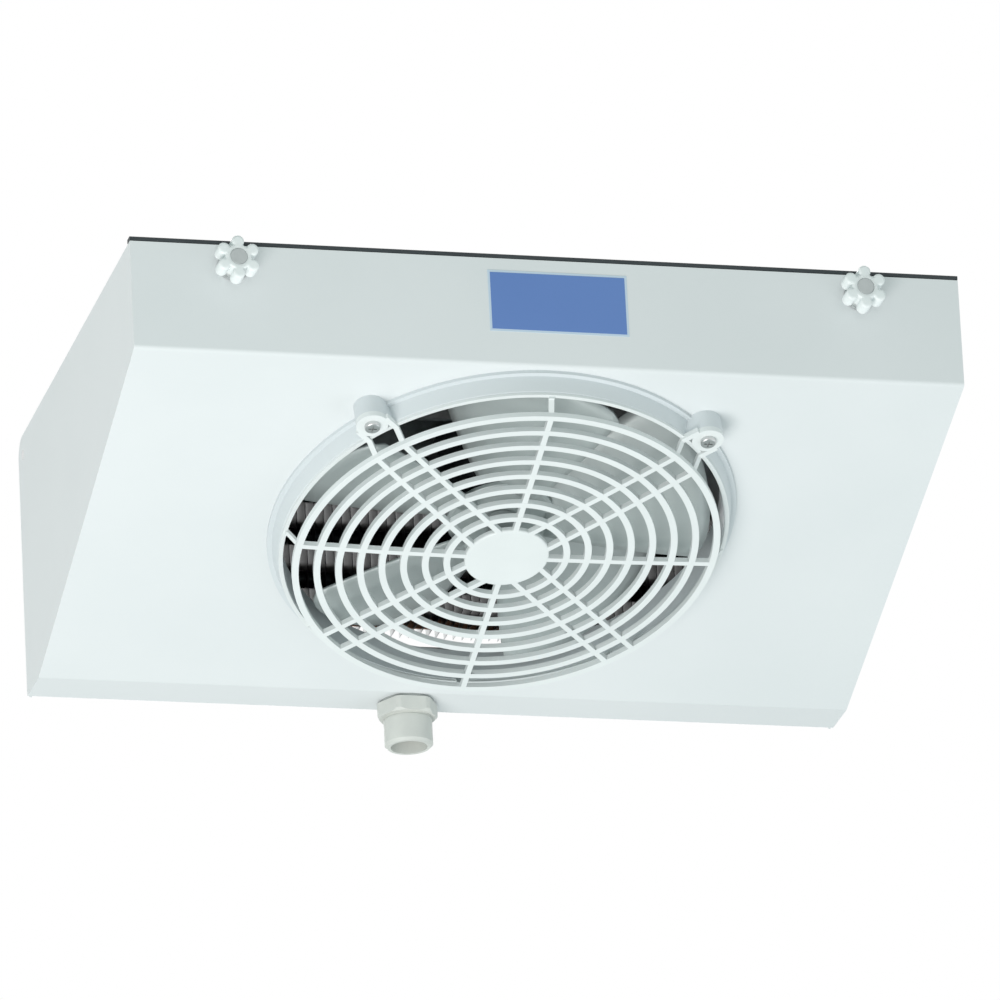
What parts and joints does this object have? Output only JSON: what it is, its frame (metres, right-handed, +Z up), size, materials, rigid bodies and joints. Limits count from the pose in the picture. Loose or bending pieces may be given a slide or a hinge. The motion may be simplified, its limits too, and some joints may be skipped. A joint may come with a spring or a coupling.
{
  "type": "ceiling unit cooler",
  "caption": "Low-profile cold-room evaporator for a ceiling, with a sloping drip tray, guarded axial fan, finned coil, drain outlet and front thumb knobs.",
  "frame": {"origin": "middle of the ceiling face, at the centre of the four ceiling slots", "axes": "+X to the right seen from the front lip, +Y to the rear air outlet, +Z up into the ceiling"},
  "size_m": [0.45, 0.319, 0.176],
  "materials": {
    "galvanised": "dull zinc",
    "black_rubber": "matt",
    "screw_steel": "zinc plated",
    "fin_aluminium": "plain",
    "copper": "drawn tube",
    "grey_plastic": "satin",
    "terminal_plastic": "satin",
    "white_paint": "semi-gloss powder coat",
    "white_plastic": "moulded, satin",
    "motor_paint": "dark enamel",
    "drain_plastic": "moulded",
    "blade_aluminium": "rolled sheet",
    "knob_plastic": "moulded, slightly translucent",
    "insert_metal": "plated"
  },
  "bodies": {
    "casing": {"top_plate": "galvanised", "front_rail": "galvanised", "side_rail_left": "galvanised", "side_rail_right": "galvanised", "edge_trim": "black_rubber", "cable_grommet": "black_rubber", "end_plate_left": "galvanised", "end_plate_right": "galvanised", "plate_screws": "screw_steel", "coil_fins": "fin_aluminium", "coil_tubes": "copper", "return_bends_left": "copper", "return_bends_right": "copper", "suction_pipe": "copper", "liquid_pipe": "copper", "terminal_box": "grey_plastic", "terminal_lid": "grey_plastic", "terminal_screws": "screw_steel", "terminal_strip": "terminal_plastic", "knob_studs": "screw_steel", "hinge_pins": "screw_steel"},
    "tray": {"tray_shell": "white_paint", "fan_ring": "white_plastic", "fan_guard": "white_plastic", "guard_screws": "screw_steel", "motor_strap": "galvanised", "fan_motor": "motor_paint", "motor_screws": "screw_steel", "drain_spigot": "drain_plastic", "drain_gasket": "black_rubber", "drain_nut": "drain_plastic"},
    "fan": {"fan_blades": "blade_aluminium", "fan_shaft": "screw_steel", "fan_cap": "grey_plastic"},
    "washer_left": {"knob_washer_left": "screw_steel"},
    "knob_left": {"knob_left": "knob_plastic", "knob_insert_left": "insert_metal"},
    "washer_right": {"knob_washer_right": "screw_steel"},
    "knob_right": {"knob_right": "knob_plastic", "knob_insert_right": "insert_metal"}
  },
  "joints": [
    {"name": "tray_hinge", "type": "hinge", "parent": "casing", "child": "tray", "pos_m": [0, 0.134, -0.0137], "axis": [1, 0, 0], "range_deg": [0, 75]},
    {"name": "fan_spin", "type": "hinge", "parent": "tray", "child": "fan", "pos_m": [0, -0.02267, -0.10393], "axis": [0, -0.3173, -0.9483], "continuous": true},
    {"name": "washer_left_slide", "type": "slide", "parent": "casing", "child": "washer_left", "axis": [0, -1, 0], "range_m": [0, 0.005]},
    {"name": "knob_left_turn", "type": "hinge", "parent": "washer_left", "child": "knob_left", "pos_m": [-0.17, -0.147, -0.0144], "axis": [0, -1, 0], "range_deg": [0, 1800]},
    {"name": "washer_right_slide", "type": "slide", "parent": "casing", "child": "washer_right", "axis": [0, -1, 0], "range_m": [0, 0.005]},
    {"name": "knob_right_turn", "type": "hinge", "parent": "washer_right", "child": "knob_right", "pos_m": [0.17, -0.147, -0.0144], "axis": [0, -1, 0], "range_deg": [0, 1800]}
  ],
  "couplings": [
    {"joint": "washer_left_slide", "follows": "knob_left_turn", "m_per_rad": 0.00015915},
    {"joint": "washer_right_slide", "follows": "knob_right_turn", "m_per_rad": 0.00015915}
  ]
}
